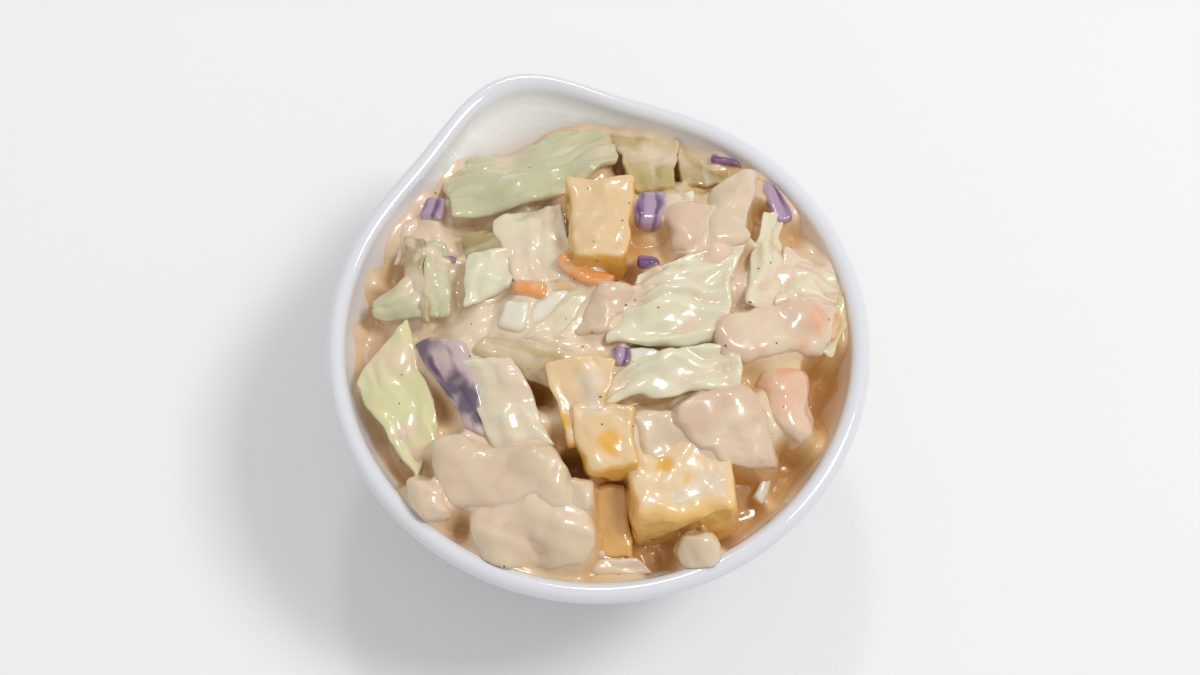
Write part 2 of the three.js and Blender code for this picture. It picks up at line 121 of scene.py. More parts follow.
class Finish:
    """A socket of a material. Sums and products of sockets add the nodes that work them out."""

    def __init__(self, tree, socket=None):
        self.tree = tree
        self.socket = socket

    def node(self, kind, settings=None, sockets=None, output=0):
        """Adds any node: its settings first, then the values or links of its sockets."""
        made = self.tree.nodes.new(kind)
        for setting, value in (settings or {}).items():
            setattr(made, setting, value)
        for socket, value in (sockets or {}).items():
            if isinstance(value, Finish):
                self.tree.links.new(value.socket, made.inputs[socket])
            else:
                made.inputs[socket].default_value = value
        return Finish(self.tree, made.outputs[output] if made.outputs else None)

    def sum_of(self, operation, first, second):
        return self.node("ShaderNodeMath", {"operation": operation}, {0: first, 1: second})

    def __add__(self, other):
        return self.sum_of("ADD", self, other)

    def __sub__(self, other):
        return self.sum_of("SUBTRACT", self, other)

    def __rsub__(self, other):
        return self.sum_of("SUBTRACT", other, self)

    def __mul__(self, other):
        return self.sum_of("MULTIPLY", self, other)

    def __truediv__(self, other):
        return self.sum_of("DIVIDE", self, other)

    __radd__ = __add__
    __rmul__ = __mul__

    def most(self, other):
        return self.sum_of("MAXIMUM", self, other)

    def rise(self, low, high):
        """Runs smoothly from 0 at one value to 1 at the other."""
        levels = {"Value": self, "From Min": low, "From Max": high}
        return self.node("ShaderNodeMapRange", {"interpolation_type": "SMOOTHSTEP"}, levels)

    def blend(self, first, second):
        """The first colour where this mask is 0, and the second where it is 1."""
        return self.node("ShaderNodeMix", {"data_type": "RGBA"}, {0: self, 6: first, 7: second}, 2)

    def place(self):
        """Object coordinates, in metres."""
        return self.node("ShaderNodeTexCoord", output=3)

    def stored(self, name, output=2):
        """A value stored on the mesh: output 0 is its colour, 1 its vector and 2 its number."""
        return self.node("ShaderNodeAttribute", {"attribute_name": name}, output=output)

    def mottle(self, place, size, detail=2.0, rough=0.5):
        """Cloudy noise from 0 to 1 with spots of about that size, in millimetres."""
        sockets = {"Vector": place, "Scale": 0.5 / (size * MM), "Detail": detail, "Roughness": rough}
        return self.node("ShaderNodeTexNoise", {}, sockets)

    def stretched(self, place, scale):
        """A place stretched by a factor along each axis."""
        return self.node("ShaderNodeVectorMath", {"operation": "MULTIPLY"}, {0: place, 1: scale})

    def bumped(self, height, depth):
        """A normal for a relief of that depth, in millimetres."""
        return self.node("ShaderNodeBump", {}, {"Height": height, "Distance": depth * MM, "Strength": 1.0})


def open_finish(name):
    """A material with an empty tree, and the start of its nodes."""
    material = bpy.data.materials.new(name)
    material.use_nodes = True
    material.node_tree.nodes.clear()
    return material, Finish(material.node_tree)


def close_finish(start, sockets):
    """Ends a material in one shader."""
    shader = start.node("ShaderNodeBsdfPrincipled", {}, sockets)
    start.node("ShaderNodeOutputMaterial", {}, {"Surface": shader})


def paint(red, green, blue, coated=1.0):
    """A colour as a screen gives it, from 0 to 255, in linear light, and how much dressing clings to it."""
    shares = [value / 255 for value in (red, green, blue)]
    linear = [s / 12.92 if s <= 0.04045 else ((s + 0.055) / 1.055) ** 2.4 for s in shares]
    return (*linear, coated)


GLAZE_WHITE = paint(219, 220, 225)
SMEAR_CREAM = paint(236, 222, 208)
# Tan of the smear: partly the dressing's own colour, partly painted shade for the shaded right side of the
# wall.
SMEAR_TAN_AND_SHADE = paint(220, 186, 140)
MILK_WHITE = paint(240, 240, 238)
BOWL_SIDES = 160
WALL_STEPS = 26
RIM_STEPS = 14
RAGGED = 12.0
SMEAR_DEPTHS = (1.0, 7.0)
SHADED_SMEAR_DEPTHS = (4.0, 13.0)
MILK_REACHES = (42.5, 44.5)
MILK_DEPTHS = (1.5, 4.0)

rim_angle = np.radians(np.linspace(0, 180, RIM_STEPS + 1))[1:-1]
rim_middle = RIM_RADIUS - RIM_ROUND
rim_points = np.stack([np.cos(rim_angle), np.sin(rim_angle)], 1) * RIM_ROUND + [rim_middle, STRAIGHT_HEIGHT]
bowl_profile = np.concatenate([
    [[0, 0]],
    flared_wall(FOOT_RADIUS, 0, RIM_RADIUS, WALL_STEPS),
    rim_points,
    flared_wall(FLOOR_RADIUS, FLOOR_HEIGHT, INSIDE_RADIUS, WALL_STEPS)[::-1],
    [[0, FLOOR_HEIGHT]],
])
bowl = turned_piece("glazed_bowl", bowl_profile.tolist(), BOWL_SIDES)
ring_radius = bowl_profile[1:-1, 0]
past_rim = np.arange(len(ring_radius)) > WALL_STEPS + RIM_STEPS // 2
inward = np.where(past_rim, rim_middle - ring_radius, 0)
store(bowl, "inward", np.concatenate([[0], np.repeat(inward, BOWL_SIDES), [rim_middle]]))

glaze, start = open_finish("white_glaze")
place = start.place()
x, y, z = (start.node("ShaderNodeSeparateXYZ", {}, {0: place}, axis) for axis in range(3))
reach = start.node("ShaderNodeMath", {"operation": "SQRT"}, {0: x * x + y * y})
around = start.node("ShaderNodeMath", {"operation": "ARCTAN2"}, {0: y, 1: x})
round_wall = start.node("ShaderNodeCombineXYZ", {}, {0: around * 0.04, 1: z * 3.0, 2: reach * 0.5})
streaks = start.mottle(round_wall, 7, 4.0, 0.6)
below_rim = (RIM_HEIGHT * MM - z) / MM
inside = start.stored("inward").rise(0.6, 1.8)
# Painted shade: the right side of the inside wall lies in shade, so the smear reaches higher there and turns
# more tan, and it turns tan deeper down.
shaded_right = (x * 0.8 - y * 0.6).rise(0.0, 0.04)
smear = (below_rim + (streaks - 0.5) * RAGGED + shaded_right * 3.0).rise(*SMEAR_DEPTHS) * inside
deep = (below_rim + (streaks - 0.5) * 10.0 + shaded_right * 4.0).rise(*SHADED_SMEAR_DEPTHS)
film_and_shade = (deep * (0.35 + 0.65 * shaded_right)).blend(SMEAR_CREAM, SMEAR_TAN_AND_SHADE)
in_lip = (reach / MM + (streaks - 0.5) * 6.0).rise(*MILK_REACHES) * y.rise(0.0, 0.02)
milk = in_lip * below_rim.rise(*MILK_DEPTHS) * inside
fine = start.mottle(place, 1.1, 3.0)
close_finish(start, {
    "Base Color": milk.blend((smear * (0.6 + shaded_right * 0.3)).blend(GLAZE_WHITE, film_and_shade), MILK_WHITE),
    "Roughness": 0.1 + smear * 0.2,
    "Coat Weight": 0.4,
    "Coat Roughness": 0.05,
    "Normal": start.bumped(smear * (0.6 + fine * 0.3), 0.15),
})
bowl.data.materials.append(glaze)
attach(bowl, "root")
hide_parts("bowl")


# ---- Green cabbage ----
# Torn leaves of green cabbage, about as thick as card with their coat of dressing, pale green to olive.
# They lie on the heap as they were tossed, each following its slope, and the lip leaf is the largest.
CROWN_HEIGHT = 6.2
SHOULDER_RADIUS = 42.0
SHOULDER_DROP = 12.0
SHOULDER_POWER = 2.4
HOLLOWS = [
    # middle x, middle y, spread, depth
    (-33, 18, 3, 9),
    (-29, 24, 2, 6),
    (-14, 29, 2.5, 8),
    (-2, 27, 2, 8),
    (13, 32, 2, 9),
    (14, 16, 4, 7),
    (-32, -16, 4, 11),
    (-30, -3, 2.5, 10),
    (-34, -9, 3.5, 7),
    (-14, -6, 3.5, 8),
    (-8, -26, 4, 10),
    (-11, -19, 2.5, 9),
    (20, -32, 6, 11),
    (31, -24, 6, 14),
    (10, -37, 6, 14),
    (-2, -38, 5, 6),
    (-14, -34, 4.5, 6),
    (42, 14, 6, 7),
    (23, 28, 2, 9),
    (-9, 8, 2, 6),
    (-3, 43, 8, 9),
    (-19, 15, 1.5, 3),
    (20, -5, 2, 4),
    (39, -15, 5, 12),
    (23, -11, 2, 5),
    (2, 6, 1.5, 3),
    (16, 42, 2, 5),
]
HUMPS = [
    # middle x, middle y, spread, height
    (25, 1, 7, 2.5),
    (35, 0, 6, 3),
    (29, -9, 6, 2.5),
    (13, -15, 6, 2.5),
    (13, -22, 6, 2),
    (27, 15, 7, 1.5),
    (-27, -2, 4, 1.5),
    (-19, -9, 4, 2),
]
CELL = 0.4
RIB_WIDTH = 3.4
MAP_CELL = 0.3
MAP_HALF = 60.0
ROOM_GAP = 0.3
FOLDS = [
    # size, height, seed
    (20, 2.6, 61),
    (9, 1.2, 62),
]
FOLD_SINK = 2.4
LUMPS = [
    # share of the piece's own lumps, size
    (0.4, 9.0),
    (0.16, 4.0),
    (0.04, 1.6),
]
RUFFLE_TURN = 0.22
RUFFLE_ACROSS = 1.9
NUDGE = 0.02


def crown(x, y):
    """Height of the heap's smooth dome over the plane of the rim."""
    return CROWN_HEIGHT - SHOULDER_DROP * (np.hypot(x, y) / SHOULDER_RADIUS) ** SHOULDER_POWER


def heap_height(x, y):
    """Height of the bare heap over the plane of the rim, with its hollows and humps."""
    height = crown(x, y)
    for sign, places in ((-1, HOLLOWS), (1, HUMPS)):
        for middle_x, middle_y, spread, size in places:
            distance = np.hypot(x - middle_x, y - middle_y)
            height = height + sign * size * np.exp(-((distance / spread) ** 2))
    return height


def ripples(points, size, seed):
    """Smooth uneven waves of about that size, mostly between -1 and 1."""
    draw = np.random.default_rng(seed)
    ways = draw.normal(size=(12, 3))
    ways *= 2 * math.pi / size / np.linalg.norm(ways, axis=1, keepdims=True)
    ways *= draw.uniform(0.7, 1.4, (12, 1))
    return np.sin(points @ ways.T + draw.uniform(0, 2 * math.pi, 12)).sum(1) / math.sqrt(12)


def box_skin(counts):
    """The grid on the skin of a box: its points as whole numbers, and its faces, facing out."""
    faces = []
    for axis in range(3):
        one, other = [side for side in range(3) if side != axis]
        p, q = np.meshgrid(np.arange(counts[one]), np.arange(counts[other]), indexing="ij")
        for far in (0, counts[axis]):
            quad = np.zeros((p.size, 4, 3), int)
            for corner, (dp, dq) in enumerate(((0, 0), (1, 0), (1, 1), (0, 1))):
                quad[:, corner, axis] = far
                quad[:, corner, one] = (p + dp).ravel()
                quad[:, corner, other] = (q + dq).ravel()
            faces.append(quad[:, ::-1] if (far > 0) == (axis == 1) else quad)
    corners = np.concatenate(faces).reshape(-1, 3)
    keys = (corners[:, 0] * 4096 + corners[:, 1]) * 4096 + corners[:, 2]
    first, quads = np.unique(keys, return_index=True, return_inverse=True)[1:]
    return corners[first], quads.reshape(-1, 4)


def sheet_points(piece, u, v):
    """The middle sheet of a piece at shares u along it and v across it, both from -1 to 1."""
    length, width = piece["size"]
    along = (length * u + piece["skew"] * v) / 2
    across = width * v * (1 - piece["taper"] * u) / 2 + piece["bow"] * (1 - u * u)
    turn = math.radians(piece["turn"])
    x = piece["at"][0] + along * math.cos(turn) - across * math.sin(turn)
    y = piece["at"][1] + along * math.sin(turn) + across * math.cos(turn)
    under = crown(*piece["at"]) * (1 - piece["drape"]) + crown(x, y) * piece["drape"]
    phase = 0.7 * piece["at"][0] + 1.3 * piece["at"][1]
    along_wave = np.sin(RUFFLE_TURN * length * u + phase)
    ruffle = piece["waves"] * along_wave * np.cos(RUFFLE_ACROSS * v + 0.7 * phase)
    tilt = (piece["rise"][0] * u + piece["rise"][1] * v) / 2
    height = under + piece["lift"] + tilt + ruffle - piece["curl"] * v * v
    return np.column_stack([x, y, RIM_HEIGHT + height])


def keep_in_bowl(points):
    """Points pushed back from the wall and the rim, with a small gap."""
    angle = np.arctan2(points[:, 1], points[:, 0])
    reach = np.hypot(points[:, 0], points[:, 1])
    low = points[:, 2] < RIM_HEIGHT + ROOM_GAP
    most = inside_radius(points[:, 2], angle) - ROOM_GAP
    share = np.where(low & (reach > most), most / np.maximum(reach, 0.1), 1)
    return points * np.stack([share, share, np.ones_like(share)], 1)


def shape_piece(piece, seed):
    """One piece as points, faces and its own grain: millimetres along its longer side, across it and back."""
    half = np.array([*piece["size"], piece["thick"]]) / 2
    counts = np.maximum(np.round(2 * half / CELL).astype(int), (6, 4, 3))
    lattice, quads = box_skin(counts)
    skin = (2 * lattice / counts - 1) * half
    radius = min(piece["soft"] * half[2], 0.95 * half.min())
    inner = np.clip(skin, radius - half, half - radius)
    away = skin - inner
    skin = inner + away * radius / np.maximum(np.linalg.norm(away, axis=1, keepdims=True), 1e-6)
    s, t = skin[:, 0] / half[0], skin[:, 1] / half[1]
    u = s * np.sqrt(1 - piece["round"] * t * t / 2)
    v = t * np.sqrt(1 - piece["round"] * s * s / 2)
    middle = sheet_points(piece, u, v)
    along = sheet_points(piece, u + NUDGE, v) - sheet_points(piece, u - NUDGE, v)
    across = sheet_points(piece, u, v + NUDGE) - sheet_points(piece, u, v - NUDGE)
    out = np.cross(along, across)
    out /= np.linalg.norm(out, axis=1, keepdims=True)
    along_grain, across_grain = u * half[0], v * half[1]
    if half[1] > half[0]:
        along_grain, across_grain = across_grain, along_grain
    veer = ripples(middle, 9.0, seed) * 1.6
    rib = piece["ribs"] * np.sin(2 * math.pi * across_grain / RIB_WIDTH + veer)
    points = middle + (skin[:, 2] + rib)[:, None] * out
    for share, size in LUMPS:
        lumps = [ripples(points, size, seed * 10 + axis) for axis in range(3)]
        points = points + share * piece["lumps"] * np.stack(lumps, 1)
    grain = np.stack([along_grain, across_grain, v * half[1]], 1)
    inward = np.minimum((1 - abs(s)) * half[0], (1 - abs(t)) * half[1])
    return keep_in_bowl(points), quads, grain, inward


map_side = int(2 * MAP_HALF / MAP_CELL) + 1
map_line = np.linspace(-MAP_HALF, MAP_HALF, map_side)
map_x, map_y = np.meshgrid(map_line, map_line, indexing="ij")
map_points = np.stack([map_x.ravel(), map_y.ravel(), map_x.ravel() * 0], 1)
folds = sum(height * np.abs(ripples(map_points, size, seed)) for size, height, seed in FOLDS)
heap_top = RIM_HEIGHT + heap_height(map_x, map_y) + folds.reshape(map_x.shape) - FOLD_SINK
dressed_pieces = []


def map_place(points):
    """The cell of the height map that each point falls in."""
    cells = np.round((points[:, :2] + MAP_HALF) / MAP_CELL).astype(int)
    return tuple(np.clip(cells, 0, map_side - 1).T)


def lay_pieces(name, kind, rows, tints, seed):
    """Shapes a group of like pieces as one mesh. Only what lies further in than "overhang" is mapped."""
    points, faces, grains, colours = [], [], [], []
    count = 0
    for number, row in enumerate(rows):
        shape, quads, grain, inward = shape_piece({**kind, **row}, seed + number)
        held = quads[inward[quads].min(1) >= min(kind["overhang"], 0.6 * inward.max())]
        corners = shape[held]
        for p in (0.0, 0.33, 0.67, 1.0):
            for q in (0.0, 0.33, 0.67, 1.0):
                near = corners[:, 0] * (1 - p) + corners[:, 1] * p
                far = corners[:, 3] * (1 - p) + corners[:, 2] * p
                between = near * (1 - q) + far * q
                np.maximum.at(heap_top, map_place(between), between[:, 2])
        points.append(shape)
        faces.append(quads + count)
        grains.append(grain)
        colours.append(np.tile(tints[row["tint"]], (len(shape), 1)))
        count += len(shape)
    piece = new_piece(name, np.concatenate(points), np.concatenate(faces))
    grain = piece.data.attributes.new("grain", "FLOAT_VECTOR", "POINT")
    grain.data.foreach_set("vector", np.concatenate(grains).astype(np.float32).ravel())
    tint = piece.data.attributes.new("tint", "FLOAT_COLOR", "POINT")
    tint.data.foreach_set("color", np.concatenate(colours).astype(np.float32).ravel())
    dressed_pieces.append(piece)
    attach(piece, "root")
    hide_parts("coleslaw")
    return piece


DRESSING_CREAM = paint(224, 204, 174)
DRESSING_BLUSH = paint(226, 198, 172)
# Tan and brown are painted shade for the gaps between the pieces.
GAP_SHADE_TAN = paint(216, 178, 124)
GAP_SHADE_BROWN = paint(204, 148, 80)
TAN_SHADE_DEPTHS = (1.0, 5.0)
BROWN_SHADE_DEPTHS = (4.0, 9.0)
PALE_REACHES = (35.0, 41.0)
SHADE_DEPTHS = (4.0, 11.0)
COATED_BELOW = (-0.1, 0.7)
CLOUD_SIZE = 6.0
FIBRE_STRETCH = (0.00012, 0.0011, 0.001)


def dressing_and_gap_shade(start):
    """The dressing's own colour, with painted shade in the gaps: tan and then brown the deeper a point lies,
    more tan on the shaded right side, and less brown near the wall.
    """
    gap = start.stored("gap")
    cream = start.mottle(start.place(), 9, 2.0).rise(0.35, 0.65).blend(DRESSING_CREAM, DRESSING_BLUSH)
    x, y = (start.node("ShaderNodeSeparateXYZ", {}, {0: start.place()}, axis) for axis in range(2))
    # Painted shade: the right side of the heap lies in shade, so its gaps turn more tan.
    shaded_right = (x * 0.8 - y * 0.6).rise(-0.035, 0.02)
    tan = (gap.rise(*TAN_SHADE_DEPTHS) * (0.5 + shaded_right * 0.5)).blend(cream, GAP_SHADE_TAN)
    reach = start.node("ShaderNodeMath", {"operation": "SQRT"}, {0: x * x + y * y}) / MM
    return (gap.rise(*BROWN_SHADE_DEPTHS) * (1.0 - reach.rise(*PALE_REACHES) * 0.8)).blend(tan, GAP_SHADE_BROWN)


def spot(start, x, y, radius):
    """1 in the middle of a round spot seen from above, and fading out raggedly at its radius."""
    middle = (x * MM, y * MM, 0)
    shift = start.node("ShaderNodeVectorMath", {"operation": "SUBTRACT"}, {0: start.place(), 1: middle})
    flat = start.stretched(shift, (1, 1, 0))
    away = start.node("ShaderNodeVectorMath", {"operation": "LENGTH"}, {0: flat}, 1)
    ragged = away / MM + (start.mottle(start.place(), 1.4, 2.0) - 0.5) * radius
    return 1.0 - ragged.rise(radius * 0.4, radius * 1.1)


def spots(start, places):
    """All the spots of a list of middles and radii together."""
    mask = spot(start, *places[0])
    for place in places[1:]:
        mask = mask.most(spot(start, *place))
    return mask


def coated_finish(name, flesh, coat_share, ribs=0.0, shade=0.8):
    """A finish for food under dressing: its own colour where bare, the dressing's where coated, and painted
    shade, brown, where it lies deep in a gap.
    """
    material, start = open_finish(name)
    place = start.place()
    low = 1.0 - start.stored("bare").rise(*COATED_BELOW)
    cloud = start.mottle(place, CLOUD_SIZE, 3.0).rise(0.72 - coat_share, 0.98 - coat_share)
    coat = low.most(cloud) * start.stored("tint", 3)
    colour = coat.blend(flesh(start), dressing_and_gap_shade(start))
    # Painted shade: points deep in a gap turn brown.
    deep = start.stored("gap").rise(*SHADE_DEPTHS) * shade
    grain = start.stored("grain", 1)
    lines = start.mottle(start.stretched(grain, FIBRE_STRETCH), 1.0, 2.0)
    fine = start.mottle(place, 1.8, 3.0)
    relief = start.bumped(fine * 0.5 + lines * ribs * (1.0 - coat * 0.7) * 0.6, 0.1)
    close_finish(start, {
        "Base Color": deep.blend(colour, GAP_SHADE_BROWN),
        "Roughness": 0.16 + fine * 0.22,
        "Subsurface Weight": 0.15,
        "Subsurface Radius": (1.0, 0.7, 0.4),
        "Subsurface Scale": 1.5 * MM,
        "Coat Weight": 0.85,
        "Coat Roughness": 0.04,
        "Normal": relief,
    })
    return material


PLAIN = dict(taper=0, skew=0, bow=0, rise=(0, 0), curl=0, drape=1, ribs=0)
LEAF = dict(PLAIN, thick=1.1, soft=0.9, round=0.15, waves=0.6, lumps=0.8, ribs=0.12, overhang=1.5)
LEAF_TINTS = {
    "pale": paint(220, 212, 182),
    "green": paint(194, 190, 150),
    "bright": paint(214, 208, 156),
    "olive": paint(174, 150, 98),
    "yellow": paint(184, 160, 98),
    # The dark tint is painted shade: the leaf that wears it lies deep in the shaded gap by the wall.
    "dark": paint(136, 126, 88),
    "vein": paint(224, 220, 194),
}
GREEN_LEAVES = [
    dict(tint="green", at=(-1, 36.5), size=(31.5, 14.5), turn=3, skew=2.5, bow=-3,
         lift=0.5, rise=(0, -1), waves=0.9, ribs=0.25),
    dict(tint="yellow", at=(19.5, 32), size=(20.5, 10.5), turn=77, taper=-0.33,
         lift=0.5, rise=(0, -1.5), curl=-0.5),
    dict(tint="olive", at=(28, 26.5), size=(9.5, 9), turn=74, lift=0.3, rise=(1, -1)),
    dict(tint="yellow", at=(36, 30), size=(7, 3), turn=54, taper=0.2, lift=1.5),
    dict(tint="olive", at=(-12.5, 21.5), size=(9, 5.5), turn=-11, lift=-0.9, rise=(0.5, 0)),
    dict(tint="olive", at=(-26, 20), size=(18, 3.5), turn=78, taper=-0.15, skew=3,
         lift=0.9, rise=(0.4, -1), waves=0.3),
    dict(tint="green", at=(-23, 18), size=(15, 4), turn=77, skew=1.5,
         lift=0.7, rise=(0.6, 1.8), waves=0.3),
    dict(tint="green", at=(-29.5, 16.5), size=(10, 7), turn=175, taper=0.6,
         lift=1.4, rise=(1.8, -0.8), round=0.05),
    dict(tint="pale", at=(-14.5, 14.5), size=(8.5, 9), turn=-5, taper=0.2, skew=2.5,
         lift=1, rise=(-0.5, -0.5), curl=-0.5),
    dict(tint="pale", at=(13.5, -0.5), size=(19.5, 15), turn=-7, taper=-0.25, skew=8.5,
         lift=2, rise=(1.5, 1), waves=1.1, ribs=0.35),
    dict(tint="pale", at=(-19, -9), size=(17, 9), turn=98, skew=3.5, lift=2.1, curl=0.6),
    dict(tint="bright", at=(-34.5, -1.5), size=(20, 10), turn=97, taper=-0.28, skew=-6,
         lift=2, rise=(2.4, 4), curl=-0.5, round=0.05),
    dict(tint="bright", at=(39, -10), size=(13, 3.5), turn=51, lift=4, rise=(0.6, -1.5)),
    dict(tint="pale", at=(7, -14.5), size=(25, 6.5), turn=-6, taper=-0.3, skew=2.5, bow=2,
         lift=2.7, rise=(2, 0.5), waves=1, ribs=0.3),
    # This leaf's dark tint is painted shade for the gap it lies in.
    dict(tint="dark", at=(17.5, -32.5), size=(11, 8.5), turn=7, taper=0.1, skew=5,
         lift=-4, rise=(-0.5, -1.5)),
]
green_cabbage = lay_pieces("green_cabbage", LEAF, GREEN_LEAVES, LEAF_TINTS, 100)


def leaf_flesh(start):
    """Leaf green with paler veins that run along the leaf."""
    grain = start.stored("grain", 1)
    veins = start.mottle(start.stretched(grain, (0.00015, 0.0009, 0.001)), 1.6, 2.0).rise(0.5, 0.75)
    return (veins * 0.55).blend(start.stored("tint", 0), LEAF_TINTS["vein"])


green_cabbage.data.materials.append(coated_finish("green_leaf", leaf_flesh, 0.22, 0.7))


# ---- White cabbage ----
# Shreds and inner leaves of white cabbage, cream to pale yellow and a little see-through.
# They lie among the green leaves, with the smooth leaf across the middle of the heap.
SHRED = dict(PLAIN, thick=1.8, soft=0.9, round=0.25, waves=0.4, lumps=0.6, overhang=0.3)
WHITE_TINTS = {
    "cream": paint(222, 212, 178),
    "white": paint(226, 222, 204),
    "blush": paint(222, 196, 172),
    "tan": paint(192, 166, 116, 0.6),
}
INNER_LEAVES = [
    dict(tint="cream", at=(-5.5, 17), size=(16, 11), turn=84, taper=-0.1,
         lift=0.2, rise=(-1.2, 0), curl=-0.6, waves=0.4),
    dict(tint="cream", at=(31.5, 4), size=(20, 4.8), turn=64, taper=0.38, skew=-1,
         lift=3.1, rise=(0, 0.6), curl=0.8, ribs=0.3),
    dict(tint="cream", at=(37, -2), size=(11, 10), turn=-24, taper=0.28, skew=1,
         lift=3.5, rise=(1.7, 0), waves=0.9, ribs=0.3),
    dict(tint="tan", at=(-12.5, -2), size=(17, 8), turn=-38, taper=-0.35, skew=2, lift=0.8, curl=0.8),
    dict(tint="white", at=(3, -9.5), size=(8, 6.5), turn=-17, skew=2, lift=0.1),
    dict(tint="blush", at=(-12.5, -37.5), size=(16, 3), turn=-17, taper=0.2, skew=-2.5,
         lift=0.4, rise=(0, -1)),
    dict(tint="blush", at=(-15.5, -35), size=(8.5, 2.5), turn=-20, skew=2, lift=-0.1, thick=1.2),
    dict(tint="blush", at=(-23, 33), size=(18.5, 4), turn=58, taper=-0.45, skew=-1.5,
         lift=-0.3, rise=(0.7, 1)),
]
WHITE_SHREDS = [
    dict(tint="white", at=(-13, 5.5), size=(5.5, 4.5), turn=57, lift=0.6, thick=2.6),
    dict(tint="white", at=(-8, 4.5), size=(8, 4), turn=38, skew=-4, lift=0.3),
    dict(tint="cream", at=(-5.5, 2.5), size=(10.5, 3.6), turn=30, taper=0.25, skew=-5, lift=0.7),
    dict(tint="white", at=(18.5, -32), size=(7, 1.5), turn=45, lift=-1.6),
    dict(tint="white", at=(21.5, 19), size=(4, 3.5), turn=0, skew=1.5, lift=0.8, thick=2.4),
]
inner_leaves = lay_pieces("white_cabbage_leaves", LEAF, INNER_LEAVES, WHITE_TINTS, 200)
white_shreds = lay_pieces("white_cabbage_shreds", SHRED, WHITE_SHREDS, WHITE_TINTS, 240)


def white_flesh(start):
    """Pale flesh with faint lines along it."""
    grain = start.stored("grain", 1)
    lines = start.mottle(start.stretched(grain, (0.0001, 0.0012, 0.001)), 1.4, 2.0).rise(0.45, 0.75)
    return (lines * 0.5).blend(start.stored("tint", 0), WHITE_TINTS["white"])


white_finish = coated_finish("white_cabbage", white_flesh, 0.26, 0.5)
inner_leaves.data.materials.append(white_finish)
white_shreds.data.materials.append(white_finish)


# ---- Red cabbage ----
# Slivers of red cabbage with purple skins and lilac flesh, sliced with the knife.
# The dressing has taken their colour, so the long strip is lavender with dark spots.
PURPLE = {
    "lilac": paint(172, 144, 168, 0.6),
    "purple": paint(140, 92, 140, 0.5),
    "lavender": paint(196, 174, 170, 0.7),
}
RED_SHREDS = [
    dict(tint="lilac", at=(-19.5, 33), size=(5, 4.2), turn=63, lift=0.7, rise=(-0.6, 0)),
    dict(tint="purple", at=(33, 26.5), size=(6.5, 3), turn=-11, taper=-0.3,
         lift=2.8, rise=(0.6, 0), thick=1.6),
    dict(tint="lilac", at=(37.5, 17), size=(13, 3.2), turn=88, taper=0.1, lift=3.4, rise=(0, -0.9)),
    dict(tint="lavender", at=(-20, 21), size=(3.2, 2), turn=-27, lift=-0.1),
    dict(tint="lilac", at=(15, 17.5), size=(7.3, 6.4), turn=68, taper=-0.14, skew=-1,
         lift=1.1, rise=(-0.8, 0), thick=4),
    dict(tint="purple", at=(11, 7), size=(3.8, 2.2), turn=-24, lift=2.1, thick=1.8),
    dict(tint="lavender", at=(-25, -3), size=(19, 5.5), turn=96, taper=-0.6, skew=4,
         lift=1.5, rise=(0.5, 0), curl=0.4),
    dict(tint="lilac", at=(1.5, -7.5), size=(3.4, 2.8), turn=65, lift=1.5, thick=1.8),
]
red_cabbage = lay_pieces("red_cabbage", SHRED, RED_SHREDS, PURPLE, 300)
PURPLE_SKIN = paint(96, 58, 104)
PLUM = paint(86, 66, 88)
PLUM_SPOTS = [(-29.5, 5.5, 3.6), (-25.5, -3, 2.6), (-24.5, -6, 3), (-23.5, -9.5, 1.8)]


def red_flesh(start):
    """Lilac flesh with dark purple stripes, and plum spots on the long strip."""
    grain = start.stored("grain", 1)
    skin = start.mottle(start.stretched(grain, (0.0003, 0.0012, 0.001)), 1.6, 2.0).rise(0.48, 0.66)
    striped = skin.blend(start.stored("tint", 0), PURPLE_SKIN)
    return (spots(start, PLUM_SPOTS) * 0.9).blend(striped, PLUM)


red_cabbage.data.materials.append(coated_finish("red_cabbage", red_flesh, 0.1, 0.4))


# ---- Carrot ----
# Thin grated bits of carrot, bright orange where the dressing has slid off them.
# They were tossed in with the cabbage and lie on top, one of them at the end of the long chunk.
CARROT_TINTS = {"orange": paint(226, 150, 76, 0.8), "coated": paint(220, 178, 132)}
CARROT_BITS = [
    dict(tint="orange", at=(-9, 9), size=(5.8, 3), turn=-26, lift=1.2),
    dict(tint="orange", at=(37, -10.5), size=(5.5, 3.4), turn=57, lift=4.9, thick=2),
    dict(tint="coated", at=(-3, 7.5), size=(7, 1.4), turn=-14, lift=0.7, thick=1.2),
    dict(tint="orange", at=(1, 9), size=(10, 3), turn=-48, bow=-1.5, lift=2.4),
]
carrot = lay_pieces("carrot", SHRED, CARROT_BITS, CARROT_TINTS, 400)


def carrot_flesh(start):
    """Orange flesh, paler in places."""
    pale = start.mottle(start.place(), 2.0, 2.0).rise(0.45, 0.75)
    return (pale * 0.6).blend(start.stored("tint", 0), CARROT_TINTS["coated"])


carrot.data.materials.append(coated_finish("carrot", carrot_flesh, 0.2, 0.5))


